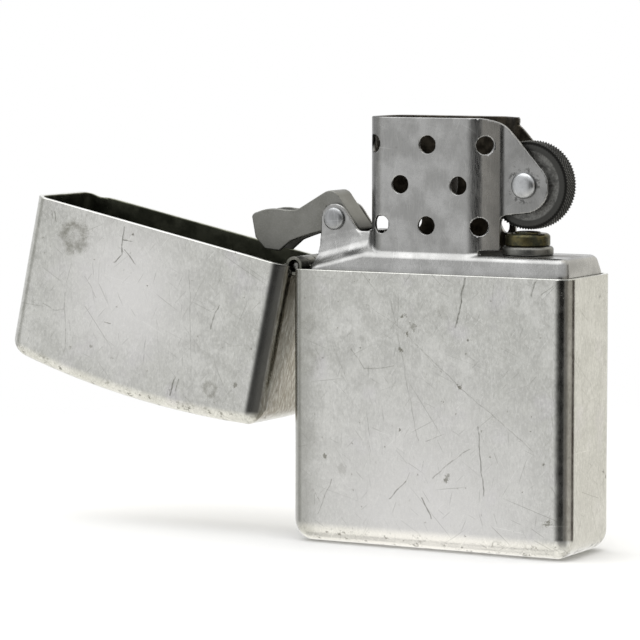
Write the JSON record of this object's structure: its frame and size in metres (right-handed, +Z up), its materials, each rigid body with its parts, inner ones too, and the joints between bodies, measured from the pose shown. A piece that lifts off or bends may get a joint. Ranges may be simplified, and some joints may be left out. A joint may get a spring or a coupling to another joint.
{
  "type": "lighter",
  "caption": "Flip-top windproof pocket lighter: metal case with a hinged lid, and a lift-out insert with vented windguard, flint wheel and snap cam.",
  "frame": {"origin": "centre of the case's flat bottom", "axes": "+Z up, -Y front, +X away from the hinge; the lid is open at rest"},
  "size_m": [0.0794, 0.013, 0.0529],
  "materials": {
    "case_metal": "worn satin, finely scratched",
    "insert_steel": "brushed, slightly smudged",
    "hinge_steel": "satin",
    "cam_steel": "matt dark grey",
    "rivet_steel": "bright satin",
    "spring_steel": "bright",
    "wheel_steel": "charcoal, knurled tread",
    "tube_brass": "dark tarnished",
    "flint_alloy": "matt",
    "cotton": "loose cotton",
    "wick_cotton": "twisted cotton, singed at the tip",
    "felt": "pressed felt"
  },
  "bodies": {
    "case": {"case_shell": "case_metal", "case_hinge_leaf": "hinge_steel", "hinge_pin": "rivet_steel"},
    "lid": {"lid_shell": "case_metal", "lid_hinge_leaf": "hinge_steel"},
    "insert": {"insert_shell": "insert_steel", "wick": "wick_cotton", "packing_1": "cotton", "packing_2": "cotton", "packing_3": "cotton", "packing_4": "cotton", "felt_pad": "felt", "cam_rivet": "rivet_steel", "cam_spring": "spring_steel", "cam_spring_rivet": "rivet_steel", "wheel_rivet": "rivet_steel", "flint_tube": "tube_brass", "tube_flange": "insert_steel", "tube_collar": "tube_brass", "flint_spring": "spring_steel"},
    "cam": {"cam_lever": "cam_steel"},
    "wheel": {"flint_wheel": "wheel_steel"},
    "flint_carrier": {"flint": "flint_alloy", "plunger": "tube_brass"},
    "screw": {"flint_screw": "tube_brass"}
  },
  "joints": [
    {"name": "lid_hinge", "type": "hinge", "parent": "case", "child": "lid", "pos_m": [-0.01925, 0, 0.03422], "axis": [0, 1, 0], "range_deg": [0, 168]},
    {"name": "insert_lift", "type": "slide", "parent": "case", "child": "insert", "axis": [0, 0, -1], "range_m": [-0.036, 0]},
    {"name": "cam_pivot", "type": "hinge", "parent": "insert", "child": "cam", "pos_m": [-0.0148, 0, 0.0401], "axis": [0, 1, 0], "range_deg": [0, 100.1]},
    {"name": "wheel_spin", "type": "hinge", "parent": "insert", "child": "wheel", "pos_m": [0.011, 0, 0.0448], "axis": [0, 1, 0], "continuous": true},
    {"name": "flint_feed", "type": "slide", "parent": "insert", "child": "flint_carrier", "axis": [0, 0, 1], "range_m": [-0.0015, 0], "stiffness_N_per_m": 150, "springref_m": 0.003, "deforming": ["flint_spring"]},
    {"name": "flint_screw_turn", "type": "hinge", "parent": "insert", "child": "screw", "pos_m": [0.0105, 0, 0.003], "axis": [0, 0, 1], "continuous": true}
  ],
  "couplings": [
    {"joint": "cam_pivot", "follows": "lid_hinge", "ratio": 0.59524}
  ]
}
